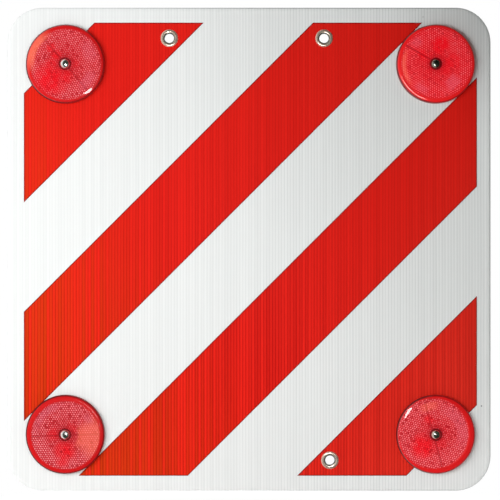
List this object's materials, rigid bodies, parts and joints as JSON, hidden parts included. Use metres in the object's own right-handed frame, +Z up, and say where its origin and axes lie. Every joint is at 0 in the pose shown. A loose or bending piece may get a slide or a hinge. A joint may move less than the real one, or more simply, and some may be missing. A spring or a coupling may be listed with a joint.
{
  "type": "overhanging load sign",
  "caption": "Square fluted plastic warning board with diagonal red and white stripes, round red reflectors at its corners and metal eyelets for tying it to an overhanging load.",
  "frame": {"origin": "centre of the board's outline and of the whole depth, halfway from the rivets' domes to the rolled ends at the back", "axes": "+Z up along the flutes, +X to the right as seen from the front, the printed front faces -Y"},
  "size_m": [0.5, 0.0164, 0.5],
  "materials": {
    "board_plastic": "white fluted polypropylene sheet, fine upright ribs, satin",
    "red_ink": "red screen ink on the ribbed sheet, satin",
    "lens_red": "clear red moulded acrylic with prisms behind a smooth glossy face",
    "back_plastic": "dark moulded plastic",
    "rivet_metal": "bright nickel-plated steel",
    "eyelet_metal": "bright nickel-plated brass",
    "washer_metal": "zinc-plated steel, satin"
  },
  "bodies": {
    "root": {"board": "board_plastic", "red_print": "red_ink", "lens_upper_left": "lens_red", "lens_upper_right": "lens_red", "lens_lower_left": "lens_red", "lens_lower_right": "lens_red", "back_upper_left": "back_plastic", "back_upper_right": "back_plastic", "back_lower_left": "back_plastic", "back_lower_right": "back_plastic", "rivet_upper_left": "rivet_metal", "rivet_upper_right": "rivet_metal", "rivet_lower_left": "rivet_metal", "rivet_lower_right": "rivet_metal", "washer_upper_left": "washer_metal", "washer_upper_right": "washer_metal", "washer_lower_left": "washer_metal", "washer_lower_right": "washer_metal", "eyelet_upper_left": "eyelet_metal", "eyelet_upper_right": "eyelet_metal", "eyelet_lower": "eyelet_metal", "ring_upper_left": "washer_metal", "ring_upper_right": "washer_metal", "ring_lower": "washer_metal"}
  },
  "joints": []
}
